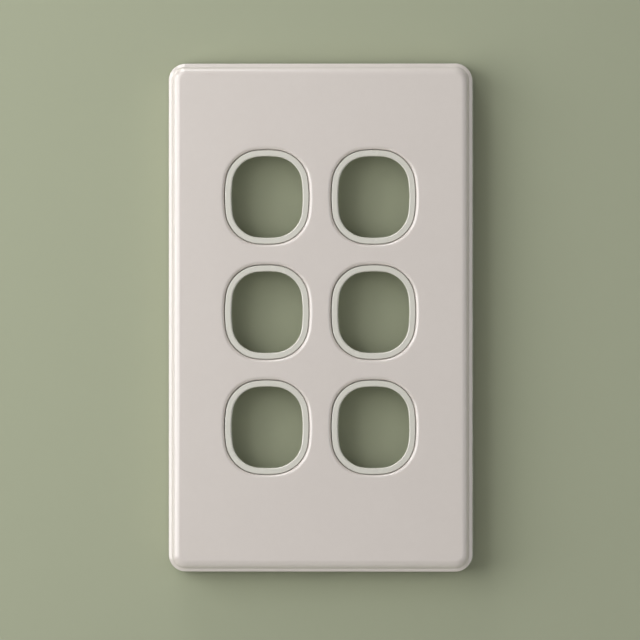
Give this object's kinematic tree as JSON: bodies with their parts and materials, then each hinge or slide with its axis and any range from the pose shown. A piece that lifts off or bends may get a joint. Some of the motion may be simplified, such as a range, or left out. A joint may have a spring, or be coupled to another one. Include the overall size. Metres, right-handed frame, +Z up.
{
  "type": "switch plate",
  "caption": "Upright wall plate for light switches: a rounded clip-on cover over a screwed mounting grid whose collared openings take clip-in switches.",
  "frame": {"origin": "on the wall plane, midway between the two fixing screws, at the centre of the plate", "axes": "+X right and +Z up as the plate hangs, seen from the room; +Y into the wall, so the face points to -Y"},
  "size_m": [0.07, 0.0358, 0.117],
  "materials": {
    "cover_plastic": "warm white moulded plastic, satin gloss",
    "grid_plastic": "slightly greener white moulded plastic, satin gloss",
    "screw_steel": "bright zinc-plated steel"
  },
  "bodies": {
    "root": {"cover_plate": "cover_plastic", "grid_plate": "grid_plastic", "fixing_screw_upper": "screw_steel", "fixing_screw_lower": "screw_steel"}
  },
  "joints": []
}
